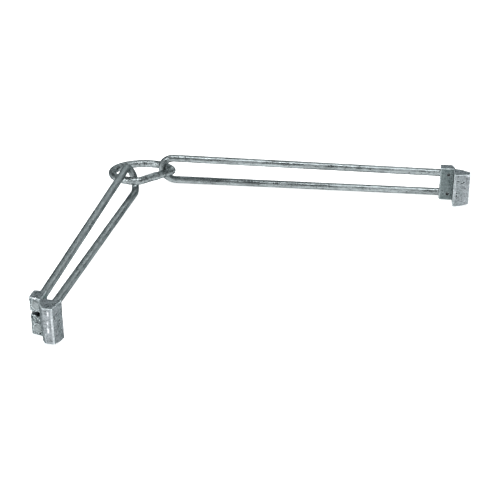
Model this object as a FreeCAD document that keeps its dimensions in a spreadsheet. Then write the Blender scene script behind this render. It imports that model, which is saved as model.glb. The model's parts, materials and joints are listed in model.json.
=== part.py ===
import FreeCAD, Part
import math
import os
import Sketcher

# Ladder stabilizer: two long arms linked by a loose steel ring.
#
# Each arm is one round rod bent double. Its closed end loops round the ring's bar and its two
# ends are pinned in a cast steel shoe with a flange that catches the ladder's rail. The two arm
# rods are the same part; the two shoes are a mirrored pair, with their flanges facing each other.
#
# Frame (millimetres): origin at the ring's centre, +Z up, +X along the right arm.
# The object lies on a level floor: both arms are level and rest on their shoes and loop ends.
# In an arm's own frame the origin is the tip of the loop, X runs along the arm and Z is up.

DRIVING_DIMENSIONS = {
    # ring
    "ring_radius": (49.5, "centre line radius of the ring's round part"),
    "ring_bar": (12.8, "diameter of the ring's bar"),
    "ring_flat_offset": (31.0, "from the ring's centre to the flat side's centre line"),
    "ring_corner_radius": (12.8, "centre line radius of the bends beside the flat side"),
    "ring_flat_heading": (-34.0, "direction from the ring's centre to its flat side, degrees"),
    "ring_lean": (4.8, "how far the ring leans from level, degrees"),
    "ring_lean_heading": (92.0, "direction in which the ring leans down, degrees"),
    "weld_length": (10.0, "length of the ring's closing weld along the bar"),
    "weld_proud": (0.9, "height of the closing weld above the bar"),
    # arm rods
    "rod_dia": (12.0, "diameter of the arm rods"),
    "arm_length": (455.0, "from the tip of the loop's centre line to the shoe"),
    "loop_height": (44.6, "distance between the two legs at the loop end"),
    "leg_pitch": (33.0, "distance between the two legs at the shoe"),
    "loop_twist": (16.0, "how far the loop end is turned about the arm, degrees"),
    "rod_in_shoe": (21.0, "length of each leg inside the shoe"),
    "knee_before_shoe": (8.0, "from the shoe back to the slight bend in each leg"),
    "knee_radius": (150.0, "centre line radius of that bend"),
    # where the loops hang in the ring
    "arm_height": (2.6, "height of the arms' mid plane above the ring's centre"),
    "right_hook_radius": (33.7, "from the ring's centre to the tip of the right loop"),
    "right_hook_heading": (27.5, "direction of that tip, degrees"),
    "right_arm_heading": (0.0, "direction in which the right arm points, degrees"),
    "left_hook_radius": (26.6, "from the ring's centre to the tip of the left loop"),
    "left_hook_heading": (-110.8, "direction of that tip, degrees"),
    "left_arm_heading": (-91.9, "direction in which the left arm points, degrees"),
    # shoes
    "shoe_height": (54.0, "height of a shoe"),
    "block_outer": (9.5, "from the rods' axis to the block's outer side"),
    "block_inner": (8.3, "from the rods' axis to the block's inner side"),
    "block_length": (18.8, "length of the block's outer side"),
    "block_end": (24.4, "from the near face to the inner edge of the block's end"),
    "flange_start": (20.8, "from the near face to the flange"),
    "flange_end": (46.4, "from the near face to the flange's nose"),
    "flange_reach": (35.0, "from the rods' axis to the flange's near inner corner"),
    "flange_tip_reach": (30.0, "from the rods' axis to the flange's far inner corner"),
    "nose_start": (17.3, "from the rods' axis to the nose's outer corner"),
    "shoulder": (33.4, "from the near face to the shoulder behind the nose"),
    "relief_start": (31.0, "from the near face to where the flange's underside starts to rise"),
    "nose_rise": (4.0, "how far the flange's underside rises at its nose"),
    "nose_radius": (4.0, "rounding of the nose's outer upright edge"),
    "corner_radius": (1.5, "rounding of the shoe's other upright edges"),
    "rim_radius": (1.0, "rounding of the shoe's top and bottom edges"),
    "groove_height": (6.0, "height of the groove between the two rod sockets"),
    "groove_bottom": (13.0, "from the near face to the bottom of that groove"),
    "groove_side": (5.0, "from the rods' axis to the inner end of that groove"),
    "groove_rise": (4.3, "height of the groove's middle above the middle of the shoe"),
    "core_dia": (8.4, "diameter of the core hole in the groove"),
    "core_side": (2.0, "from the rods' axis to the core hole's axis"),
    "core_bottom": (9.0, "from the near face to the bottom of the core hole"),
    # spring pins
    "pin_dia": (4.0, "diameter of the spring pins"),
    "pin_bore": (2.4, "bore of the spring pins"),
    "pin_slot": (0.8, "width of the slot along a spring pin"),
    "pin_place": (13.2, "from the near face to the pins' axis"),
    "pin_recess": (0.3, "how far the pins' ends lie below the block's sides"),
}

ARM_SIDES = {"right": -1, "left": 1}   # sign of local Y on the arm's inner side
LEG_SIDES = {"upper": 1, "lower": -1}  # sign of local Z of the leg
THROUGH = 300                          # length of a cut that goes right through

doc = FreeCAD.newDocument("ladder_stabilizer")
sheet = doc.addObject("Spreadsheet::Sheet", "Sizes")
for row, (alias, (value, meaning)) in enumerate(DRIVING_DIMENSIONS.items(), start=1):
    sheet.set(f"A{row}", meaning)
    sheet.set(f"B{row}", str(value))
    sheet.setAlias(f"B{row}", alias)
doc.recompute()


def size(alias):
    """A driving dimension, read from the sheet."""
    return float(sheet.get(alias))


def bound(expression):
    """The same expression with each of its aliases named as a cell of the sheet."""
    words = expression.split()
    return " ".join(f"Sizes.{word}" if word in DRIVING_DIMENSIONS else word for word in words)


# ------------------------------------------------------------ sketches and bodies

def new_body(name):
    body = doc.addObject("PartDesign::Body", name)
    body.Label = name
    return body


def new_sketch(body, name, plane, offset=None):
    """A sketch on one of the body's origin planes, moved along its normal by an expression."""
    sketch = body.newObject("Sketcher::SketchObject", name)
    support = next(f for f in body.Origin.OriginFeatures if f.Role == plane)
    sketch.AttachmentSupport = [(support, "")]
    sketch.MapMode = "FlatFace"
    if offset:
        sketch.setExpression("AttachmentOffset.Base.z", bound(offset))
    return sketch


def constrain(sketch, constraint, expression):
    """Add a driving constraint and bind it to the sheet."""
    index = sketch.addConstraint(constraint)
    sketch.setExpression(f"Constraints[{index}]", bound(expression))


def fix_point(sketch, geometry, point, x, y):
    """Hold one point of a sketch at two expressions, measured from the sketch's origin."""
    constrain(sketch, Sketcher.Constraint("DistanceX", -1, 1, geometry, point, 1.0), x)
    constrain(sketch, Sketcher.Constraint("DistanceY", -1, 1, geometry, point, 1.0), y)


def number(expression):
    """The present value of an expression."""
    return float(sheet.evalExpression(bound(expression)))


def add_polygon(sketch, corners):
    """A closed outline; each corner is a pair of expressions."""
    points = [FreeCAD.Vector(number(x), number(y), 0) for x, y in corners]
    count = len(points)
    for i in range(count):
        sketch.addGeometry(Part.LineSegment(points[i], points[(i + 1) % count]), False)
    for i in range(count):
        sketch.addConstraint(Sketcher.Constraint("Coincident", i, 2, (i + 1) % count, 1))
    for i, (x, y) in enumerate(corners):
        fix_point(sketch, i, 1, x, y)


def add_circle(sketch, x, y, radius):
    """A circle whose centre and radius are expressions."""
    centre = FreeCAD.Vector(number(x), number(y), 0)
    circle = Part.Circle(centre, FreeCAD.Vector(0, 0, 1), number(radius))
    index = sketch.addGeometry(circle, False)
    fix_point(sketch, index, 3, x, y)
    constrain(sketch, Sketcher.Constraint("Radius", index, number(radius)), radius)


def add_pad(body, name, sketch, length, midplane=False):
    pad = body.newObject("PartDesign::Pad", name)
    pad.Profile = sketch
    pad.Midplane = midplane
    pad.setExpression("Length", bound(length))
    doc.recompute()
    return pad


def add_pocket(body, name, sketch, length):
    """A pocket that cuts the same depth on both sides of its sketch."""
    before = body.Shape.Volume
    pocket = body.newObject("PartDesign::Pocket", name)
    pocket.Profile = sketch
    pocket.Midplane = True
    pocket.setExpression("Length", bound(length))
    doc.recompute()
    if body.Shape.Volume >= before:
        raise RuntimeError(f"{name} removes nothing")
    return pocket


def round_edges(body, name, radius, chosen):
    """Round the edges of the body's tip that a test picks."""
    tip = body.Tip
    names = [f"Edge{i}" for i, edge in enumerate(tip.Shape.Edges, start=1) if chosen(edge)]
    fillet = body.newObject("PartDesign::Fillet", name)
    fillet.Base = (tip, names)
    fillet.setExpression("Radius", bound(radius))
    doc.recompute()
    return fillet


# ------------------------------------------------------------ ring

def make_ring():
    """The D-shaped ring: a round bar swept along three quarters of a circle and a flat side."""
    body = new_body("d_ring")
    big = size("ring_radius")
    small = size("ring_corner_radius")
    flat = size("ring_flat_offset")
    along = math.sqrt((big - small) ** 2 - (flat - small) ** 2)
    turn = math.atan2(along, flat - small)
    normal = FreeCAD.Vector(0, 0, 1)
    centre = FreeCAD.Vector(0, 0, 0)
    upper_bend = FreeCAD.Vector(flat - small, along, 0)
    lower_bend = FreeCAD.Vector(flat - small, -along, 0)

    path = new_sketch(body, "ring_path", "XY_Plane")
    path.addGeometry(Part.ArcOfCircle(Part.Circle(centre, normal, big), turn, math.pi), False)
    path.addGeometry(Part.ArcOfCircle(Part.Circle(centre, normal, big), math.pi, -turn), False)
    path.addGeometry(Part.ArcOfCircle(Part.Circle(lower_bend, normal, small), -turn, 0), False)
    path.addGeometry(Part.LineSegment(FreeCAD.Vector(flat, -along, 0), FreeCAD.Vector(flat, along, 0)), False)
    path.addGeometry(Part.ArcOfCircle(Part.Circle(upper_bend, normal, small), 0, turn), False)
    far_left, near_left, lower, side, upper = range(5)
    path.addConstraint(Sketcher.Constraint("Coincident", far_left, 3, -1, 1))
    path.addConstraint(Sketcher.Constraint("Coincident", near_left, 3, -1, 1))
    path.addConstraint(Sketcher.Constraint("Coincident", far_left, 2, near_left, 1))
    path.addConstraint(Sketcher.Constraint("PointOnObject", far_left, 2, -1))
    path.addConstraint(Sketcher.Constraint("Tangent", near_left, 2, lower, 1))
    path.addConstraint(Sketcher.Constraint("Tangent", lower, 2, side, 1))
    path.addConstraint(Sketcher.Constraint("Tangent", side, 2, upper, 1))
    path.addConstraint(Sketcher.Constraint("Tangent", upper, 2, far_left, 1))
    path.addConstraint(Sketcher.Constraint("Vertical", side))
    constrain(path, Sketcher.Constraint("Radius", far_left, big), "ring_radius")
    constrain(path, Sketcher.Constraint("Radius", lower, small), "ring_corner_radius")
    constrain(path, Sketcher.Constraint("Radius", upper, small), "ring_corner_radius")
    constrain(path, Sketcher.Constraint("DistanceX", -1, 1, side, 1, flat), "ring_flat_offset")

    profile = new_sketch(body, "ring_profile", "XZ_Plane")
    add_circle(profile, "- ring_radius", "0", "ring_bar / 2")
    doc.recompute()
    pipe = body.newObject("PartDesign::AdditivePipe", "ring_pipe")
    pipe.Profile = profile
    pipe.Spine = (path, [f"Edge{i}" for i in range(1, 6)])
    doc.recompute()
    return body


def make_ring_weld():
    """The raised collar of the butt weld that closes the ring, halfway along the flat side."""
    body = new_body("ring_weld")
    section = new_sketch(body, "weld_section", "XY_Plane")
    add_polygon(section, [
        ("ring_bar / 2", "- weld_length / 2"),
        ("ring_bar / 2 + 0.75 * weld_proud", "- 0.27 * weld_length"),
        ("ring_bar / 2 + weld_proud", "0"),
        ("ring_bar / 2 + 0.75 * weld_proud", "0.27 * weld_length"),
        ("ring_bar / 2", "weld_length / 2"),
    ])
    doc.recompute()
    collar = body.newObject("PartDesign::Revolution", "weld_collar")
    collar.Profile = section
    collar.ReferenceAxis = (section, ["V_Axis"])
    collar.Angle = 360
    doc.recompute()
    return body


def ring_placement(offset):
    """Turn the ring's flat side to its heading, then lean the ring; offset is along the flat's normal."""
    lean_axis = math.radians(size("ring_lean_heading") + 90)
    lean = FreeCAD.Rotation(FreeCAD.Vector(math.cos(lean_axis), math.sin(lean_axis), 0), size("ring_lean"))
    turn = FreeCAD.Rotation(FreeCAD.Vector(0, 0, 1), size("ring_flat_heading"))
    rotation = lean.multiply(turn)
    return FreeCAD.Placement(rotation.multVec(FreeCAD.Vector(offset, 0, 0)), rotation)


# ------------------------------------------------------------ arm rods

def rounded_path(corners, radii):
    """A wire of straight lines and tangent arcs; the first and the last corner are its ends."""
    edges = []
    start = corners[0]
    for before, corner, after, radius in zip(corners, corners[1:], corners[2:], radii):
        arriving = (corner - before).normalize()
        leaving = (after - corner).normalize()
        turn = arriving.getAngle(leaving)
        reach = radius * math.tan(turn / 2)
        arc_start = corner - arriving * reach
        arc_end = corner + leaving * reach
        inward = (leaving - arriving).normalize()
        arc_middle = corner + inward * (radius / math.cos(turn / 2) - radius)
        if (arc_start - start).Length > 1e-6:
            edges.append(Part.LineSegment(start, arc_start).toShape())
        edges.append(Part.Arc(arc_start, arc_middle, arc_end).toShape())
        start = arc_end
    edges.append(Part.LineSegment(start, corners[-1]).toShape())
    return Part.Wire(edges)


def rod_path():
    """The rod's centre line, from one end in the shoe round the loop to the other end.

    Its closed end is two arcs that meet at the tip, in a plane turned about the arm. Just before
    the shoe a slight bend makes both legs parallel to the arm.
    """
    half = size("loop_height") / 2
    twist = math.radians(size("loop_twist"))
    loop_corner = FreeCAD.Vector(0, -math.sin(twist), math.cos(twist)) * half
    knee = FreeCAD.Vector(size("arm_length") - size("knee_before_shoe"), 0, size("leg_pitch") / 2)
    end = FreeCAD.Vector(size("arm_length") + size("rod_in_shoe"), 0, size("leg_pitch") / 2)

    def opposite(point):
        return FreeCAD.Vector(point.x, -point.y, -point.z)

    turn = loop_corner.getAngle(knee - loop_corner)
    loop_radius = half / math.tan(turn / 2)
    corners = [opposite(end), opposite(knee), opposite(loop_corner), loop_corner, knee, end]
    radii = [size("knee_radius"), loop_radius, loop_radius, size("knee_radius")]
    return rounded_path(corners, radii)


def make_arm_rod(side):
    """One rod bent double, with a cross hole through each end for its spring pin."""
    wire = rod_path()
    path = doc.addObject("Part::Feature", f"{side}_rod_path")
    path.Shape = wire
    section = doc.addObject("Part::Circle", f"{side}_rod_section")
    section.setExpression("Radius", bound("rod_dia / 2"))
    facing = FreeCAD.Rotation(FreeCAD.Vector(0, 0, 1), FreeCAD.Vector(-1, 0, 0))
    section.Placement = FreeCAD.Placement(wire.OrderedVertexes[0].Point, facing)
    bent = doc.addObject("Part::Sweep", f"{side}_bent_rod")
    bent.Sections = [section]
    bent.Spine = (path, [f"Edge{i}" for i in range(1, len(wire.Edges) + 1)])
    bent.Solid = True
    bent.Frenet = False
    doc.recompute()
    expected = math.pi * size("rod_dia") ** 2 / 4 * wire.Length
    if abs(bent.Shape.Volume / expected - 1) > 0.01:
        raise RuntimeError("the bent rod hasn't the volume of its path and section")
    drills = [pin_cylinder(side, leg, "drill", "pin_dia / 2", str(THROUGH)) for leg in LEG_SIDES]
    both = doc.addObject("Part::MultiFuse", f"{side}_drills")
    both.Shapes = drills
    rod = doc.addObject("Part::Cut", f"{side}_arm_rod")
    rod.Base = bent
    rod.Tool = both
    rod.Label = f"{side}_arm_rod"
    return rod


# ------------------------------------------------------------ spring pins

def pin_cylinder(side, leg, use, radius, length):
    """A cylinder on a spring pin's axis, centred on the block's width."""
    inner = ARM_SIDES[side]
    cylinder = doc.addObject("Part::Cylinder", f"{side}_{leg}_{use}")
    cylinder.setExpression("Radius", bound(radius))
    cylinder.setExpression("Height", bound(length))
    cylinder.Placement.Rotation = FreeCAD.Rotation(FreeCAD.Vector(1, 0, 0), -90 * inner)
    middle = "( block_inner - block_outer ) / 2"
    cylinder.setExpression("Placement.Base.x", bound("arm_length + pin_place"))
    cylinder.setExpression("Placement.Base.y", bound(f"{inner} * ( {middle} - ( {length} ) / 2 )"))
    cylinder.setExpression("Placement.Base.z", bound(f"{LEG_SIDES[leg]} * leg_pitch / 2"))
    return cylinder


def make_spring_pin(side, leg):
    """A slotted tubular pin through the block and one leg."""
    length = "block_inner + block_outer - 2 * pin_recess"
    outside = pin_cylinder(side, leg, "pin_outside", "pin_dia / 2", length)
    bore = pin_cylinder(side, leg, "pin_bore", "pin_bore / 2", f"{length} + 2")
    slot = doc.addObject("Part::Box", f"{side}_{leg}_pin_slot")
    slot.setExpression("Length", bound("pin_slot"))
    slot.setExpression("Width", bound(f"{length} + 2"))
    slot.setExpression("Height", bound("pin_dia"))
    slot.setExpression("Placement.Base.x", bound("arm_length + pin_place - pin_slot / 2"))
    middle = f"{ARM_SIDES[side]} * ( block_inner - block_outer ) / 2"
    slot.setExpression("Placement.Base.y", bound(f"{middle} - ( {length} + 2 ) / 2"))
    slot.setExpression("Placement.Base.z", bound(f"{LEG_SIDES[leg]} * leg_pitch / 2"))
    inside = doc.addObject("Part::MultiFuse", f"{side}_{leg}_pin_inside")
    inside.Shapes = [bore, slot]
    pin = doc.addObject("Part::Cut", f"{side}_{leg}_pin")
    pin.Base = outside
    pin.Tool = inside
    pin.Label = f"{side}_{leg}_pin"
    return pin


# ------------------------------------------------------------ shoes

def upright(edge):
    """True for a straight edge along Z."""
    if len(edge.Vertexes) < 2 or not isinstance(edge.Curve, Part.Line):
        return False
    return abs(edge.tangentAt(edge.FirstParameter).z) > 0.999


def make_shoe(side):
    """The cast end piece: a block that holds both legs, with a flange across its far inner edge."""
    inner = ARM_SIDES[side]
    body = new_body(f"{side}_shoe")

    def corner(x, y):
        """A corner given from the near face and from the rods' axis towards the inner side."""
        return f"arm_length + {x}", f"{inner} * ( {y} )"

    block = new_sketch(body, f"{side}_block_plan", "XY_Plane")
    add_polygon(block, [
        corner("0", "- block_outer"),
        corner("block_length", "- block_outer"),
        corner("block_end", "block_inner"),
        corner("0", "block_inner"),
    ])
    add_pad(body, f"{side}_block", block, "shoe_height", midplane=True)

    flange = new_sketch(body, f"{side}_flange_plan", "XY_Plane", offset="- shoe_height / 2")
    add_polygon(flange, [
        corner("flange_start", "block_inner - 2"),
        corner("flange_start", "flange_reach"),
        corner("flange_end", "flange_tip_reach"),
        corner("flange_end", "nose_start"),
        corner("shoulder", "block_inner + 0.5"),
        corner("flange_start + 1", "block_inner - 1.5"),
    ])
    add_pad(body, f"{side}_flange", flange, "shoe_height")

    def near(edge, x, y):
        """True for an upright edge beside a point given as a corner is."""
        place = edge.CenterOfMass
        target_x, target_y = (number(e) for e in corner(x, y))
        return upright(edge) and math.hypot(place.x - target_x, place.y - target_y) < 0.6

    round_edges(body, f"{side}_nose_rounding", "nose_radius",
                lambda edge: near(edge, "flange_end", "nose_start"))
    other_corners = [
        ("0", "- block_outer"), ("0", "block_inner"), ("block_length", "- block_outer"),
        ("flange_start", "flange_reach"), ("flange_end", "flange_tip_reach"),
    ]
    round_edges(body, f"{side}_corner_rounding", "corner_radius",
                lambda edge: any(near(edge, x, y) for x, y in other_corners))

    half = number("shoe_height / 2")

    def rim(edge):
        """True for the outlines of the top and bottom faces."""
        box = edge.BoundBox
        return box.ZLength < 1e-6 and abs(abs(box.ZMin) - half) < 1e-6

    round_edges(body, f"{side}_rim_rounding", "rim_radius", rim)

    relief = new_sketch(body, f"{side}_relief_section", "XZ_Plane")
    add_polygon(relief, [
        ("arm_length + relief_start", "- shoe_height / 2 - 2"),
        ("arm_length + flange_end + 2", "- shoe_height / 2 - 2"),
        ("arm_length + flange_end + 2", "- shoe_height / 2 + nose_rise"),
        ("arm_length + relief_start", "- shoe_height / 2"),
    ])
    add_pocket(body, f"{side}_relief", relief, str(THROUGH))

    sockets = new_sketch(body, f"{side}_socket_section", "YZ_Plane")
    for sign in LEG_SIDES.values():
        add_circle(sockets, "0", f"{sign} * leg_pitch / 2", "rod_dia / 2")
    add_pocket(body, f"{side}_sockets", sockets, "4 * arm_length")

    groove = new_sketch(body, f"{side}_groove_plan", "XY_Plane", offset="groove_rise")
    add_polygon(groove, [
        corner("groove_bottom", "- block_outer - 1"),
        corner("groove_bottom", "groove_side"),
        corner("block_end + 2", "groove_side"),
        corner("block_end + 2", "- block_outer - 1"),
    ])
    add_pocket(body, f"{side}_groove", groove, "groove_height")

    core = new_sketch(body, f"{side}_core_section", "YZ_Plane", offset="arm_length + 2 * block_end")
    add_circle(core, f"{inner} * core_side", "groove_rise", "core_dia / 2")
    add_pocket(body, f"{side}_core", core, "2 * ( 2 * block_end - core_bottom )")

    holes = new_sketch(body, f"{side}_pin_holes_section", "XZ_Plane")
    for sign in LEG_SIDES.values():
        add_circle(holes, "arm_length + pin_place", f"{sign} * leg_pitch / 2", "pin_dia / 2")
    add_pocket(body, f"{side}_pin_holes", holes, str(THROUGH))
    return body


# ------------------------------------------------------------ assembly

def arm_placement(side):
    """The arm's frame: its tip hangs in the ring and the arm runs level at its heading."""
    heading = math.radians(size(f"{side}_hook_heading"))
    radius = size(f"{side}_hook_radius")
    tip = FreeCAD.Vector(radius * math.cos(heading), radius * math.sin(heading), size("arm_height"))
    turn = FreeCAD.Rotation(FreeCAD.Vector(0, 0, 1), size(f"{side}_arm_heading"))
    return FreeCAD.Placement(tip, turn)


def build():
    """All sub-parts, each placed in the object's frame."""
    ring = make_ring()
    weld = make_ring_weld()
    ring.Placement = ring_placement(0)
    weld.Placement = ring_placement(size("ring_flat_offset"))
    subparts = [ring, weld]
    for side in ARM_SIDES:
        pieces = [make_arm_rod(side), make_shoe(side)]
        pieces += [make_spring_pin(side, leg) for leg in LEG_SIDES]
        for piece in pieces:
            piece.Placement = arm_placement(side)
        subparts += pieces
    doc.recompute()
    return subparts


def check(subparts):
    """Stop if any object failed or any sub-part isn't one valid solid."""
    for thing in doc.Objects:
        if "Invalid" in thing.State or "Error" in thing.State:
            raise RuntimeError(f"{thing.Name} failed: {thing.State}")
    for part in subparts:
        if part.Shape.isNull() or not part.Shape.isValid() or len(part.Shape.Solids) != 1:
            raise RuntimeError(f"{part.Label} isn't one valid solid")


def export(subparts):
    os.makedirs("parts", exist_ok=True)
    for part in subparts:
        part.Shape.exportStep(f"parts/{part.Label}.step")
        print(f"{part.Label}: {part.Shape.Volume / 1000:.2f} cm3, box {part.Shape.BoundBox}")


subparts = build()
check(subparts)
export(subparts)
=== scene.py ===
"""Ladder stabilizer: the visible model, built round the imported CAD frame."""
import json
import math

import bmesh
import bpy
from mathutils import Matrix, Quaternion, Vector, noise


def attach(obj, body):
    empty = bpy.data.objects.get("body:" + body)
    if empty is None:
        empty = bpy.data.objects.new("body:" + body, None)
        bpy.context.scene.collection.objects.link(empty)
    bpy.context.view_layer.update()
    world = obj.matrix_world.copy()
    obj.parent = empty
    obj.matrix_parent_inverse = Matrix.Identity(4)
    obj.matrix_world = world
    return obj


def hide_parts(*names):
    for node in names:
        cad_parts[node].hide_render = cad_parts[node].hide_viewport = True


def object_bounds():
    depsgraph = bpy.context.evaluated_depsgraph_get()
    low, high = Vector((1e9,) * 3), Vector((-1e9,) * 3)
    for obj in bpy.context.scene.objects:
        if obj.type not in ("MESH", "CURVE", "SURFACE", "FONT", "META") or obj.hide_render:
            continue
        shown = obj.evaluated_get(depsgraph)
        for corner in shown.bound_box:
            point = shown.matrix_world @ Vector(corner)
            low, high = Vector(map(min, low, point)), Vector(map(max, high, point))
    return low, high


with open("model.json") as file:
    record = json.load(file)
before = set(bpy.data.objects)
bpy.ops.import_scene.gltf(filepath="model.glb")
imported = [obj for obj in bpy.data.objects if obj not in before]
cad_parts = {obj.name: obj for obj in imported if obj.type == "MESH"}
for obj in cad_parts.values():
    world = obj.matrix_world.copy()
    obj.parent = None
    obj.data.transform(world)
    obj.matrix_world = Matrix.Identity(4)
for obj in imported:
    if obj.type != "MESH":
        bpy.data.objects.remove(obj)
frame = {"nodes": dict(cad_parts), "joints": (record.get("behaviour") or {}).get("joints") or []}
CAD_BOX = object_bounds()

MM = 0.001
UP = Vector((0, 0, 1))

# camera: metres, with the lens and sensor in millimetres
CAMERA_PLACE = Vector((0.4197, -1.7432, 0.7233))
CAMERA_AIM = Vector((0.1738, 0.0354, -0.1485))
CAMERA_ROLL = math.radians(-0.12)
LENS = 83.8
SENSOR = 36.0

# stage: a square floor just under the object, and soft lights (metres and watts)
FLOOR_HALF = 12.0
FLOOR_GAP = 0.0003
# name, place, target, width, height, power
LIGHTS = [
    ("overhead", (0.2, -0.5, 1.9), (0.2, -0.15, 0), 3.0, 0.28, 40),
    ("left", (-1.9, -1.5, 0.8), (0.0, -0.4, 0), 0.3, 0.8, 22),
    ("front", (0.9, -2.2, 0.5), (0.4, 0.0, 0), 0.5, 0.3, 5),
    ("back", (0.4, 2.6, 1.35), (0.2, -0.1, 0), 3.2, 0.9, 22),
]

# ring (millimetres and degrees), as in the CAD model
RING_RADIUS = 49.5
RING_BAR = 12.8
RING_FLAT = 31.0
RING_CORNER = 12.8
RING_FLAT_HEADING = -34.0
RING_LEAN = 4.8
RING_LEAN_HEADING = 92.0

# the weld's collar: as long as the CAD model's, with a rough hump that is a little lower (millimetres)
WELD_LENGTH = 10.0
WELD_PROUD = 0.72
WELD_SINK = 0.24

# arms (millimetres and degrees), as in the CAD model
ROD_RADIUS = 6.0
ARM_LENGTH = 455.0
LOOP_HEIGHT = 44.6
LEG_PITCH = 33.0
LOOP_TWIST = 16.0
ROD_IN_SHOE = 21.0
KNEE_BEFORE_SHOE = 8.0
KNEE_RADIUS = 150.0
PIN_PLACE = 13.2
ARM_HEADING = {"right": 0.0, "left": -91.9}
INNER_SIGN = {"right": -1, "left": 1}
LEGS = ("upper", "lower")

# a rod's sawn end: how far its middle stands out, and how rough it is (millimetres)
ROD_END_DOME = 0.9
ROD_END_ROUGH = 0.9

# seeds of the surface noise
RING_SEED = 11
WELD_SEED = 21
ROD_SEED = {"right": 31, "left": 51}
ROD_END_SEED = 4
CASTING_SEED = {"right": 71, "left": 91}

# fineness of the meshes: voxels and steps along a bar in millimetres, sides round a bar
VOXEL = 0.55
BAR_STEP = 1.2
RING_SIDES = 44
ROD_SIDES = 40
WELD_HALF_STEPS = 12
DOME_LAYERS = 6


# ------------------------------------------------------------ camera, floor, light

def aim(obj, target):
    obj.rotation_mode = "QUATERNION"
    obj.rotation_quaternion = (Vector(target) - obj.location).to_track_quat("-Z", "Y")


def make_camera():
    data = bpy.data.cameras.new("camera")
    data.lens = LENS
    data.sensor_width = SENSOR
    camera = bpy.data.objects.new("camera", data)
    bpy.context.scene.collection.objects.link(camera)
    camera.location = CAMERA_PLACE
    aim(camera, CAMERA_AIM)
    camera.rotation_quaternion @= Quaternion((0, 0, 1), CAMERA_ROLL)
    bpy.context.scene.camera = camera


def area_light(name, place, target, width, height, power):
    data = bpy.data.lights.new(name, "AREA")
    data.shape = "RECTANGLE"
    data.size = width
    data.size_y = height
    data.energy = power
    light = bpy.data.objects.new(name, data)
    light.location = place
    aim(light, target)
    bpy.context.scene.collection.objects.link(light)


def make_stage():
    """A pale floor under the object, a dim surround and soft lights."""
    mesh = bpy.data.meshes.new("floor")
    low = CAD_BOX[0].z - FLOOR_GAP
    signs = [(-1, -1), (1, -1), (1, 1), (-1, 1)]
    corners = [(x * FLOOR_HALF, y * FLOOR_HALF, low) for x, y in signs]
    mesh.from_pydata(corners, [], [(0, 1, 2, 3)])
    floor = bpy.data.objects.new("floor", mesh)
    bpy.context.scene.collection.objects.link(floor)
    material = bpy.data.materials.new("floor")
    material.use_nodes = True
    shader = material.node_tree.nodes["Principled BSDF"]
    shader.inputs["Base Color"].default_value = (0.86, 0.86, 0.86, 1)
    shader.inputs["Roughness"].default_value = 0.9
    shader.inputs["Specular IOR Level"].default_value = 0.2
    shader.inputs["Emission Color"].default_value = (1, 1, 1, 1)
    shader.inputs["Emission Strength"].default_value = 0.7
    mesh.materials.append(material)

    world = bpy.data.worlds.new("surround")
    bpy.context.scene.world = world
    world.use_nodes = True
    background = world.node_tree.nodes["Background"]
    background.inputs["Color"].default_value = (0.90, 0.98, 1.0, 1)
    background.inputs["Strength"].default_value = 0.38

    for light in LIGHTS:
        area_light(*light)


# ------------------------------------------------------------ materials

class Nodes:
    """Small helper that adds linked shader nodes to one material."""

    def __init__(self, name):
        self.material = bpy.data.materials.new(name)
        self.material.use_nodes = True
        self.tree = self.material.node_tree
        self.shader = self.tree.nodes["Principled BSDF"]

    def add(self, kind, inputs=(), **settings):
        node = self.tree.nodes.new(kind)
        for key, value in settings.items():
            setattr(node, key, value)
        for socket, value in dict(inputs).items():
            self.feed(node.inputs[socket], value)
        return node

    def feed(self, socket, value):
        if isinstance(value, bpy.types.NodeSocket):
            self.tree.links.new(value, socket)
        else:
            socket.default_value = value

    def noise(self, vector, scale, detail, rough, distortion=0.0):
        inputs = {"Vector": vector, "Scale": scale, "Detail": detail, "Roughness": rough,
                  "Distortion": distortion}
        return self.add("ShaderNodeTexNoise", inputs).outputs["Fac"]

    def cells(self, vector, scale):
        """Crystals: cells that each have one random level."""
        colour = self.add("ShaderNodeTexVoronoi", {"Vector": vector, "Scale": scale}).outputs["Color"]
        return self.add("ShaderNodeSeparateColor", {"Color": colour}).outputs["Red"]

    def math(self, operation, a, b):
        return self.add("ShaderNodeMath", {0: a, 1: b}, operation=operation).outputs["Value"]

    def weighted(self, *pairs):
        """The sum of some levels, each times its weight, at most 1."""
        total = 0.0
        for level, weight in pairs:
            total = self.math("ADD", total, self.math("MULTIPLY", level, weight))
        return self.math("MINIMUM", total, 1.0)

    def spread(self, value, low, high, to_low=0.0, to_high=1.0):
        """The value's stretch from low to high, spread from to_low to to_high."""
        inputs = {"Value": value, "From Min": low, "From Max": high,
                  "To Min": to_low, "To Max": to_high}
        return self.add("ShaderNodeMapRange", inputs, clamp=True).outputs["Result"]

    def mix(self, factor, a, b):
        """Colour a at factor 0 and colour b at 1. The mix node's colour sockets are 6, 7 and 2."""
        node = self.add("ShaderNodeMix", data_type="RGBA")
        self.feed(node.inputs[0], factor)
        self.feed(node.inputs[6], a)
        self.feed(node.inputs[7], b)
        return node.outputs[2]

    def scaled(self, vector, scale):
        return self.add("ShaderNodeMapping", {"Vector": vector, "Scale": scale}).outputs["Vector"]

    def bump(self, height, strength, distance, normal=None):
        inputs = {"Height": height, "Strength": strength, "Distance": distance}
        if normal is not None:
            inputs["Normal"] = normal
        return self.add("ShaderNodeBump", inputs).outputs["Normal"]


# metal seen edge on reflects this little
RIM_TINT = (0.13, 0.15, 0.15, 1)

# the middle of a noise's range, which is spread over a whole scale
BAR_BAND = (0.38, 0.62)
CASTING_BAND = (0.40, 0.60)
STAIN_BAND = (0.35, 0.65)
SPECK_BAND = (0.61, 0.68)


def grey(level):
    """The cool grey of weathered zinc at a linear brightness."""
    return (level * 0.90, level * 1.0, level * 1.02, 1)


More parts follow.
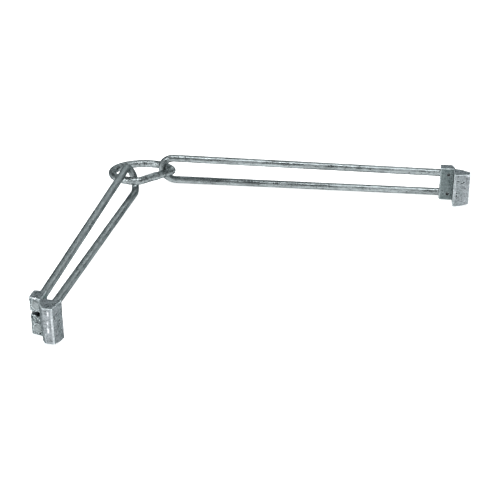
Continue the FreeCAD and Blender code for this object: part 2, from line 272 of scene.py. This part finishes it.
def galvanised(name, stretch, dark, light, speckle):
    """Hot-dip zinc on bar: spangle, long runs, dull patches and small dark specks."""
    n = Nodes(name)
    place = n.add("ShaderNodeAttribute", attribute_name="flow").outputs["Vector"]
    drawn = n.scaled(place, (stretch, 1.0, 1.0))
    runs = n.noise(drawn, scale=300.0, detail=5.0, rough=0.65)
    patches = n.noise(drawn, scale=85.0, detail=3.0, rough=0.55, distortion=0.6)
    spangle = n.cells(place, scale=520.0)
    dots = n.noise(n.scaled(place, (0.6, 1.0, 1.0)), scale=420.0, detail=2.0, rough=0.5)
    fine = n.noise(place, scale=1500.0, detail=3.0, rough=0.6)

    tone = n.weighted((n.spread(runs, *BAR_BAND), 0.50), (spangle, 0.20),
                      (n.spread(patches, *BAR_BAND), 0.34))
    colour = n.mix(tone, grey(dark), grey(light))
    specks = n.math("MULTIPLY", n.spread(dots, *SPECK_BAND), speckle)
    n.feed(n.shader.inputs["Base Color"], n.mix(specks, colour, grey(0.02)))
    n.shader.inputs["Metallic"].default_value = 0.95
    n.shader.inputs["Specular Tint"].default_value = RIM_TINT
    dull = n.spread(patches, *BAR_BAND, to_low=0.19, to_high=0.40)
    n.feed(n.shader.inputs["Roughness"], n.math("ADD", dull, n.math("MULTIPLY", spangle, 0.08)))
    normal = n.bump(runs, strength=0.75, distance=0.0006)
    normal = n.bump(fine, strength=0.25, distance=0.0001, normal=normal)
    n.feed(n.shader.inputs["Normal"], normal)
    return n.material


def cast_zinc(name):
    """Rough casting under zinc: grainy, lighter on worn edges, with painted shade in hollows and pits.

    The mesh's coat holds painted light: lit against shaded zinc (X), painted shade (Y) and painted
    highlights (Z).
    """
    n = Nodes(name)
    place = n.add("ShaderNodeTexCoord").outputs["Object"]
    pointed = n.add("ShaderNodeNewGeometry").outputs["Pointiness"]
    paint = n.add("ShaderNodeAttribute", attribute_name="coat").outputs["Vector"]
    coat = n.add("ShaderNodeSeparateXYZ", {"Vector": paint})
    grain = n.noise(place, scale=480.0, detail=6.0, rough=0.65)
    clouds = n.noise(place, scale=170.0, detail=4.0, rough=0.6, distortion=1.2)
    spangle = n.cells(place, scale=620.0)

    tone = n.weighted((n.spread(grain, *CASTING_BAND), 0.46), (n.spread(clouds, *CASTING_BAND), 0.36),
                      (spangle, 0.20))
    # painted light: the lit and the shaded tone of the zinc, mixed by the coat's X
    lit = n.mix(tone, (0.085, 0.094, 0.099, 1), (0.36, 0.39, 0.41, 1))
    shaded = n.mix(tone, (0.060, 0.080, 0.082, 1), (0.20, 0.238, 0.24, 1))
    colour = n.mix(coat.outputs["X"], shaded, lit)
    worn = n.spread(pointed, 0.508, 0.545, to_low=0.0, to_high=0.8)
    colour = n.mix(worn, colour, grey(0.80))
    # painted shade: near black in the hollows and pits that the pointiness finds
    painted_hollow_shade = n.spread(pointed, 0.487, 0.44, to_low=0.0, to_high=0.9)
    colour = n.mix(painted_hollow_shade, colour, grey(0.02))
    # painted shade: near black in the recess, the dents and round the pin holes, as the coat's Y says
    colour = n.mix(coat.outputs["Y"], colour, grey(0.012))
    # painted highlight: near white where the coat's Z says
    colour = n.mix(coat.outputs["Z"], colour, (0.93, 0.96, 1.0, 1))
    n.feed(n.shader.inputs["Base Color"], colour)
    n.shader.inputs["Metallic"].default_value = 0.92
    n.shader.inputs["Specular Tint"].default_value = RIM_TINT
    n.feed(n.shader.inputs["Roughness"], n.spread(clouds, *CASTING_BAND, to_low=0.26, to_high=0.50))
    n.feed(n.shader.inputs["Normal"], n.bump(grain, strength=1.0, distance=0.0009))
    return n.material


def steel_in_painted_shade(name):
    """Spring pins: dull dark steel, stained, and near black as painted shade deep in their holes."""
    n = Nodes(name)
    place = n.add("ShaderNodeTexCoord").outputs["Object"]
    stain = n.noise(place, scale=500.0, detail=4.0, rough=0.6)
    # painted shade: the pins are near black so their holes read deep
    colour = n.mix(n.spread(stain, *STAIN_BAND), grey(0.008), grey(0.04))
    n.feed(n.shader.inputs["Base Color"], colour)
    n.shader.inputs["Metallic"].default_value = 0.6
    n.feed(n.shader.inputs["Roughness"], n.spread(stain, *STAIN_BAND, to_low=0.55, to_high=0.75))
    n.feed(n.shader.inputs["Normal"], n.bump(stain, strength=0.4, distance=0.0002))
    return n.material


# ------------------------------------------------------------ geometry helpers

def new_piece(name, mesh, body, material, node):
    """Link a smooth piece, ride it on its body and let it stand for its CAD node."""
    piece = bpy.data.objects.new(name, mesh)
    bpy.context.scene.collection.objects.link(piece)
    mesh.materials.clear()
    mesh.materials.append(material)
    for polygon in mesh.polygons:
        polygon.use_smooth = True
    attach(piece, body)
    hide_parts(node)


def wave(point, lengths, seed):
    """Perlin noise, -1 to 1, with its own wavelength along each axis (millimetres)."""
    place = Vector((point[0] / lengths[0], point[1] / lengths[1], point[2] / lengths[2]))
    return noise.noise(place + Vector((seed * 17.3, seed * 5.1, seed * 9.7)))


def zinc_coat(point, seed):
    """Height of an uneven zinc coat over bar, in millimetres; X of the point runs along the bar.

    It is never above 0, so a rod stays within the size of its CAD node.
    """
    slow = 0.10 * wave(point, (24, 5, 5), seed)
    ripple = 0.05 * wave(point, (5, 2.2, 2.2), seed + 1)
    drip = 0.5 * max(0.0, wave(point, (9, 3.5, 3.5), seed + 2) - 0.38)
    return min(slow + ripple + drip - 0.10, 0.0)


def rounded_path(corners, radii, step):
    """Points along straight lines and tangent arcs, about one step apart."""
    points = []
    start = corners[0]

    def run(a, b):
        count = max(1, round((b - a).length / step))
        points.extend(a.lerp(b, i / count) for i in range(count))

    for before, corner, after, radius in zip(corners, corners[1:], corners[2:], radii):
        arriving = (corner - before).normalized()
        leaving = (after - corner).normalized()
        turn = arriving.angle(leaving)
        reach = radius * math.tan(turn / 2)
        centre = corner + (leaving - arriving).normalized() * radius / math.cos(turn / 2)
        arc_start = corner - arriving * reach
        if (arc_start - start).length > 1e-6:
            run(start, arc_start)
        axis = arriving.cross(leaving).normalized()
        count = max(2, round(radius * turn / step))
        for i in range(count):
            swing = Quaternion(axis, turn * i / count)
            points.append(centre + swing @ (arc_start - centre))
        start = corner + leaving * reach
    run(start, corners[-1])
    points.append(corners[-1])
    return points


def tube(points, radius, sides, coat, closed=False, plane=None):
    """A tube along points, with coat(sample) added to its radius: vertices, faces and samples.

    A sample is the bare surface's place. It is where the vertex is on a closed tube. On an open one it
    is the place on the tube laid out straight, with X along it.
    """
    count = len(points)
    tangents = []
    for i in range(count):
        if closed:
            ahead, behind = points[(i + 1) % count], points[i - 1]
        else:
            ahead, behind = points[min(i + 1, count - 1)], points[max(i - 1, 0)]
        tangents.append((ahead - behind).normalized())
    normal = plane.copy() if plane else tangents[0].orthogonal().normalized()
    verts, flow = [], []
    along = 0.0
    for i, (point, tangent) in enumerate(zip(points, tangents)):
        normal = (normal - tangent * normal.dot(tangent)).normalized()
        side = tangent.cross(normal)
        for k in range(sides):
            angle = 2 * math.pi * k / sides
            out = normal * math.cos(angle) + side * math.sin(angle)
            straight = Vector((along, radius * math.cos(angle), radius * math.sin(angle)))
            sample = point + out * radius if closed else straight
            verts.append(point + out * (radius + coat(sample)))
            flow.append(sample)
        if i + 1 < count:
            along += (points[i + 1] - point).length
    faces = []
    for i in range(count if closed else count - 1):
        here, ahead = i * sides, ((i + 1) % count) * sides
        for k in range(sides):
            m = (k + 1) % sides
            faces.append((here + k, here + m, ahead + m, ahead + k))
    return verts, faces, flow


def dome(verts, faces, flow, ring, centre, outward, height):
    """Close a tube's end with a low, uneven dome; ring is the list of the end's vertices."""
    flow_end = flow[ring[0]].x
    size = len(ring)
    previous = ring
    for layer in range(1, DOME_LAYERS):
        angle = layer / DOME_LAYERS * math.pi / 2
        lift = math.sin(angle)
        shrink = math.cos(angle)
        current = []
        for index in ring:
            rim = Vector(verts[index]) - centre
            spot = centre + rim * shrink + outward * height * lift
            spot += outward * ROD_END_ROUGH * shrink * wave(spot, (2.6, 2.6, 2.6), ROD_END_SEED)
            current.append(len(verts))
            verts.append(spot)
            flow.append(Vector((flow_end, 0, 0)) + rim * shrink)
        for k in range(size):
            m = (k + 1) % size
            faces.append((previous[k], previous[m], current[m], current[k]))
        previous = current
    top = len(verts)
    verts.append(centre + outward * height)
    flow.append(Vector((flow_end + height, 0, 0)))
    for k in range(size):
        faces.append((previous[k], previous[(k + 1) % size], top))


def to_mesh(name, verts, faces, flow, place):
    """A mesh in metres, put in place, from millimetres in its own frame; flow rides along for looks."""
    mesh = bpy.data.meshes.new(name)
    mesh.from_pydata([place @ (Vector(v) * MM) for v in verts], [], faces)
    attribute = mesh.attributes.new("flow", "FLOAT_VECTOR", "POINT")
    for item, value in zip(attribute.data, flow):
        item.vector = Vector(value) * MM
    work = bmesh.new()
    work.from_mesh(mesh)
    bmesh.ops.recalc_face_normals(work, faces=work.faces)
    work.to_mesh(mesh)
    work.free()
    mesh.update()
    return mesh


# ------------------------------------------------------------ ring

def ring_frame():
    """The ring's frame: turned so that its flat side lies between the loops, and leaning."""
    lean_axis = math.radians(RING_LEAN_HEADING + 90)
    lean = Matrix.Rotation(math.radians(RING_LEAN), 4,
                           Vector((math.cos(lean_axis), math.sin(lean_axis), 0)))
    return lean @ Matrix.Rotation(math.radians(RING_FLAT_HEADING), 4, "Z")


def ring_points(step):
    """The ring's centre line: the large arc, then a bend, the flat side and a bend."""
    bend = RING_FLAT - RING_CORNER
    along = math.sqrt((RING_RADIUS - RING_CORNER) ** 2 - bend ** 2)
    turn = math.atan2(along, bend)

    def arc(x, y, radius, start, end):
        count = round(radius * (end - start) / step)
        angles = [start + (end - start) * i / count for i in range(count)]
        return [Vector((x + radius * math.cos(a), y + radius * math.sin(a), 0)) for a in angles]

    count = round(2 * along / step)
    flat = [Vector((RING_FLAT, -along + 2 * along * i / count, 0)) for i in range(count)]
    return (arc(0, 0, RING_RADIUS, turn, 2 * math.pi - turn)
            + arc(bend, -along, RING_CORNER, -turn, 0) + flat
            + arc(bend, along, RING_CORNER, 0, turn))


def make_ring(material):
    """The ring: one closed bar with an uneven skin."""
    def coat(place):
        slow = 0.10 * wave(place, (9, 9, 9), RING_SEED)
        ripple = 0.06 * wave(place, (2.6, 2.6, 2.6), RING_SEED + 1)
        return slow + ripple - 0.08

    verts, faces, flow = tube(ring_points(BAR_STEP), RING_BAR / 2, RING_SIDES, coat, True, UP)
    mesh = to_mesh("ring_bar", verts, faces, flow, ring_frame())
    new_piece("ring_bar", mesh, "ring", material, "d_ring")


def make_weld(material):
    """The closing weld's collar: a rippled hump round the middle of the ring's flat side."""
    half = WELD_LENGTH / 2
    steps = range(-WELD_HALF_STEPS, WELD_HALF_STEPS + 1)
    bead = [Vector((RING_FLAT, y * half / WELD_HALF_STEPS, 0)) for y in steps]

    def crown(place):
        hump = WELD_PROUD * (1 - (place.x / half - 1) ** 2)
        ridges = 0.07 * math.cos(2.6 * place.x + 0.5 * place.y)
        rough = 0.12 * wave(place, (2.5, 2.5, 2.5), WELD_SEED)
        return hump + ridges + rough - WELD_SINK

    verts, faces, flow = tube(bead, RING_BAR / 2, RING_SIDES, crown, plane=UP)
    last = len(verts)
    faces.append(tuple(reversed(range(RING_SIDES))))
    faces.append(tuple(range(last - RING_SIDES, last)))
    mesh = to_mesh("weld_bead", verts, faces, flow, ring_frame())
    new_piece("weld_bead", mesh, "ring", material, "ring_weld")


# ------------------------------------------------------------ arms

def arm_frame(side):
    """The arm's frame in the row frame: its hinge is at the tip of the loop."""
    joint = next(j for j in frame["joints"] if j["child"] == f"{side}_arm")
    turn = Matrix.Rotation(math.radians(ARM_HEADING[side]), 4, "Z")
    return Matrix.Translation(Vector(joint["pos_m"])) @ turn


def rod_corners():
    """The corners of a rod's centre line and the radius of the bend at each inner one."""
    half = LOOP_HEIGHT / 2
    twist = math.radians(LOOP_TWIST)
    loop = Vector((0, -math.sin(twist), math.cos(twist))) * half
    knee = Vector((ARM_LENGTH - KNEE_BEFORE_SHOE, 0, LEG_PITCH / 2))
    end = Vector((ARM_LENGTH + ROD_IN_SHOE, 0, LEG_PITCH / 2))
    opposite = Matrix.Diagonal((1, -1, -1))
    loop_radius = half / math.tan(loop.angle(knee - loop) / 2)
    corners = [opposite @ end, opposite @ knee, opposite @ loop, loop, knee, end]
    return corners, [KNEE_RADIUS, loop_radius, loop_radius, KNEE_RADIUS]


def make_rod(side, material):
    """One bar bent double: its closed end goes round the ring, its two ends into the shoe."""
    corners, radii = rod_corners()
    points = rounded_path(corners, radii, BAR_STEP)

    def coat(place):
        return zinc_coat(place, ROD_SEED[side])

    verts, faces, flow = tube(points, ROD_RADIUS, ROD_SIDES, coat)
    last = len(verts)
    ends = [(range(ROD_SIDES), points[0]), (range(last - ROD_SIDES, last), points[-1])]
    for ring, centre in ends:
        dome(verts, faces, flow, list(ring), centre, Vector((1, 0, 0)), ROD_END_DOME)
    mesh = to_mesh(f"{side}_bar", verts, faces, flow, arm_frame(side))
    new_piece(f"{side}_bar", mesh, f"{side}_arm", material, f"{side}_arm_rod")


def bell(distance, reach):
    """1 at distance 0, falling smoothly to 0 at reach."""
    return max(0.0, 1 - (distance / reach) ** 2) ** 2


def ramp(value, low, high):
    """0 below low, 1 above high, smooth between."""
    t = min(max((value - low) / (high - low), 0.0), 1.0)
    return t * t * (3 - 2 * t)


# how much of a face's outward direction lies along an axis when the face starts to count as facing
# that way, and when it counts fully
FACING = (0.4, 0.8)

# a shoe's rough block end: how far it goes across the shoe and along the arm (mm)
END_ACROSS = 8
END_ALONG = 30
# the lobes and the recess in it: place across the shoe, height, reach, how far out or in (mm)
LOBES = [(0.5, 16.5, 9.0, 0.5), (-1.5, -13.0, 9.0, 0.6)]
RECESS = (4.2, 4.8, 8.5, 3.2)

# a pin hole's sunk rim: depth and reach, and where its painted shade fades out (mm)
PIN_RIM = (0.4, 3.4)
PIN_SHADE = (2.2, 3.2)
# the pin holes are nearer the arm's middle than this (mm)
PIN_ACROSS = 10

# the lower heel of the nose is worn away by this much (mm)
HEEL_CUT = 1.6

# blow holes in a shoe's inner face: along the arm, height, half length, half height, depth (mm)
BLOW_HOLES = {
    "right": [(27.5, 16.0, 2.6, 0.9, 0.8), (36.8, 14.4, 1.3, 1.2, 1.5), (34.3, 12.6, 2.2, 0.8, 0.9),
              (26.6, -4.2, 1.3, 1.2, 0.8), (26.8, -8.8, 1.2, 1.6, 0.8), (28.0, 25.0, 1.0, 1.6, 0.4),
              (31.0, -12.5, 1.0, 1.0, 0.5), (40.0, 4.0, 1.0, 1.0, 0.4), (6.0, -12.0, 1.2, 1.0, 0.3)],
    "left": [(40.6, 10.9, 1.4, 1.6, 1.2), (35.5, 15.0, 1.6, 1.2, 0.5), (30.0, 3.0, 2.0, 1.4, 0.5),
             (34.0, -4.0, 1.6, 2.2, 0.4), (27.5, -12.0, 1.2, 1.2, 0.5), (39.0, -9.0, 1.0, 2.0, 0.4)],
}

# painted highlights on the zinc: face, place across that face, height, half width, half height,
# strength (mm)
PAINTED_HIGHLIGHTS = {
    "right": [("inner", 43.0, 25.5, 2.6, 2.4, 0.75), ("inner", 24.0, 5.0, 1.0, 22.0, 0.35)],
    "left": [("end", 23.0, -4.0, 1.5, 5.0, 1.0), ("end", 23.4, 7.0, 1.4, 3.4, 0.85),
             ("end", 24.2, 18.5, 1.6, 5.0, 0.7), ("end", -3.0, 26.5, 4.5, 2.0, 0.9),
             ("end", 28.6, 2.0, 1.2, 26.0, 0.5)],
}


def block_end(place, across, height, seed):
    """How far a rough block end is moved out, in millimetres, and the painted shade in its dips and
    recess.
    """
    rough = 1.1 * wave(place, (4.5, 3.5, 4.5), seed) + 0.5 * wave(place, (2, 2, 2), seed + 1)
    move = rough
    for at, level, reach, proud in LOBES:
        move += proud * bell(math.hypot(across - at, height - level), reach)
    at, level, reach, depth = RECESS
    recess = bell(math.hypot(across - at, height - level), reach)
    # the second value is painted shade in the sunken spots and the recess
    return move - depth * recess, max(0.8 * ramp(-rough, 0.25, 0.7), 0.85 * recess)


def blow_holes(side, along, height):
    """How far an inner face is moved out, in millimetres, and the painted shade in its dents."""
    move = painted_shade = 0.0
    for at, level, long, tall, depth in BLOW_HOLES[side]:
        dent = bell(math.hypot((along - at) / long, (height - level) / tall), 1.4)
        move -= 1.3 * depth * dent
        painted_shade = max(painted_shade, min(1.0, 1.5 * depth * dent))
    return move, painted_shade


def pin_holes(along, height):
    """How far the casting is moved out round its pin holes, in millimetres, and the painted shade round
    them.
    """
    from_pin = math.hypot(along - PIN_PLACE, abs(height) - LEG_PITCH / 2)
    depth, reach = PIN_RIM
    return -depth * bell(from_pin, reach), 1 - ramp(from_pin, *PIN_SHADE)


def painted_lit_zinc(place, outward, along, across, seed):
    """Painted light on the zinc: lightest on the flange, the nose, the end and the top, with random
    patches.
    """
    upward = ramp(outward.z, *FACING)
    flange = 0.75 * ramp(across, 9.5, 12.5) * (1 - upward)
    nose = 0.45 * ramp(along, 33.0, 40.0)
    end = 0.45 * ramp(outward.x, *FACING)
    shadow = 0.35 * wave(place, (11, 9, 9), seed)
    return min(max(max(flange + nose, end, 0.8 * upward) + shadow, 0.0), 1.0)


def painted_highlight(side, place, outward, along, across, seed):
    """How much a painted highlight covers this place."""
    ragged = max(0.0, 0.55 + 0.9 * wave(place, (2.4, 2.4, 3.2), seed))
    shine = 0.0
    for face, at, level, wide, tall, strength in PAINTED_HIGHLIGHTS[side]:
        facing, spot = (INNER_SIGN[side] * outward.y, along) if face == "inner" else (outward.x, across)
        glow = bell(math.hypot((spot - at) / wide, (place.z - level) / tall), 1.3)
        shine = max(shine, 1.6 * strength * ramp(facing, 0.4, 0.7) * glow * ragged)
    return min(shine, 1.0)


def casting_skin(side, place, outward):
    """How far the skin of a casting is moved out there, in millimetres, and its coat.

    Place and outward are in the arm's frame. The coat is painted light: how lit the zinc is, its
    painted shade and its painted highlights.
    """
    seed = CASTING_SEED[side]
    along = place.x - ARM_LENGTH
    across = INNER_SIGN[side] * place.y
    height = place.z
    facing_in = INNER_SIGN[side] * outward.y
    swell = 0.30 * wave(place, (8, 8, 9), seed)
    grain = 0.13 * wave(place, (2.2, 2.2, 2.4), seed + 1)
    lumps = 0.45 * max(0.0, wave(place, (4, 4, 5), seed + 2) - 0.2)
    pits = 1.1 * max(0.0, wave(place, (2.6, 2.6, 2.6), seed + 3) - 0.48)
    heel = HEEL_CUT * ramp(-height, 2, 24) * ramp(-facing_in, 0.1, 0.9) * ramp(along, 25, 35)

    marks = []
    if outward.x > 0.5 and across < END_ACROSS and along < END_ALONG:
        marks.append(block_end(place, across, height, seed + 4))
    if facing_in > 0.7:
        marks.append(blow_holes(side, along, height))
    if across < PIN_ACROSS:
        marks.append(pin_holes(along, height))
    move = swell + grain + lumps - pits - heel + sum(out for out, _ in marks)
    # the coat is painted light: the painted shade of the marks, the lit tone and the painted highlights
    painted_shade = max((dark for _, dark in marks), default=0.0)
    lit = painted_lit_zinc(place, outward, along, across, seed + 6)
    highlight = painted_highlight(side, place, outward, along, across, seed + 7)
    return move, (lit, painted_shade, highlight)


def make_shoe(side, material):
    """The CAD shoe's shape as a casting: soft edges, an uneven skin, lobes, a recess and pits.

    Its vertices are kept within the CAD shoe's box.
    """
    node = frame["nodes"][f"{side}_shoe"]
    rough = bpy.data.objects.new("rough", node.data.copy())
    bpy.context.scene.collection.objects.link(rough)
    remesh = rough.modifiers.new("remesh", "REMESH")
    remesh.mode = "VOXEL"
    remesh.voxel_size = VOXEL * MM
    smooth = rough.modifiers.new("smooth", "SMOOTH")
    smooth.factor = 0.5
    smooth.iterations = 3
    graph = bpy.context.evaluated_depsgraph_get()
    mesh = bpy.data.meshes.new_from_object(rough.evaluated_get(graph))
    bpy.data.objects.remove(rough)

    local = arm_frame(side).inverted()
    corners = [Vector(corner) for corner in node.bound_box]
    low = Vector(min(corner[axis] for corner in corners) for axis in range(3))
    high = Vector(max(corner[axis] for corner in corners) for axis in range(3))
    moved, coats = [], []
    for vertex in mesh.vertices:
        outward = local.to_3x3() @ vertex.normal
        move, coat = casting_skin(side, (local @ vertex.co) / MM, outward)
        moved.append(vertex.co + vertex.normal * move * MM)
        coats.append(coat)
    for vertex, place in zip(mesh.vertices, moved):
        vertex.co = [min(max(p, a), b) for p, a, b in zip(place, low, high)]
    attribute = mesh.attributes.new("coat", "FLOAT_VECTOR", "POINT")
    for item, coat in zip(attribute.data, coats):
        item.vector = coat
    mesh.update()
    mesh.name = f"{side}_casting"
    new_piece(f"{side}_casting", mesh, f"{side}_arm", material, f"{side}_shoe")


def finish_node(name, material):
    """Keep a CAD node and give it its finish."""
    materials = frame["nodes"][name].data.materials
    materials.clear()
    materials.append(material)


# ------------------------------------------------------------ the scene

make_camera()
make_stage()

# scale of the pattern along the bar (under 1 draws it out), darkest and lightest tone, speck strength
ring_zinc = galvanised("ring_zinc", 1.0, 0.045, 0.46, 0.9)
weld_zinc = galvanised("weld_zinc", 1.0, 0.09, 0.46, 0.6)
rod_zinc = {
    "right": galvanised("right_rod_zinc", 0.22, 0.10, 0.42, 0.85),
    # painted shade: the left rods' copy of the zinc is darker and flatter than the right's, though both
    # arms are the same zinc; it has fewer specks too
    "left": galvanised("left_rod_zinc_shaded", 0.30, 0.14, 0.34, 0.35),
}
casting = cast_zinc("casting")
pin_steel = steel_in_painted_shade("pin_steel")

make_ring(ring_zinc)
make_weld(weld_zinc)
for arm_side in ARM_HEADING:
    make_rod(arm_side, rod_zinc[arm_side])
    make_shoe(arm_side, casting)
    for leg in LEGS:
        finish_node(f"{arm_side}_{leg}_pin", pin_steel)

bpy.context.scene.view_settings.view_transform = "Standard"
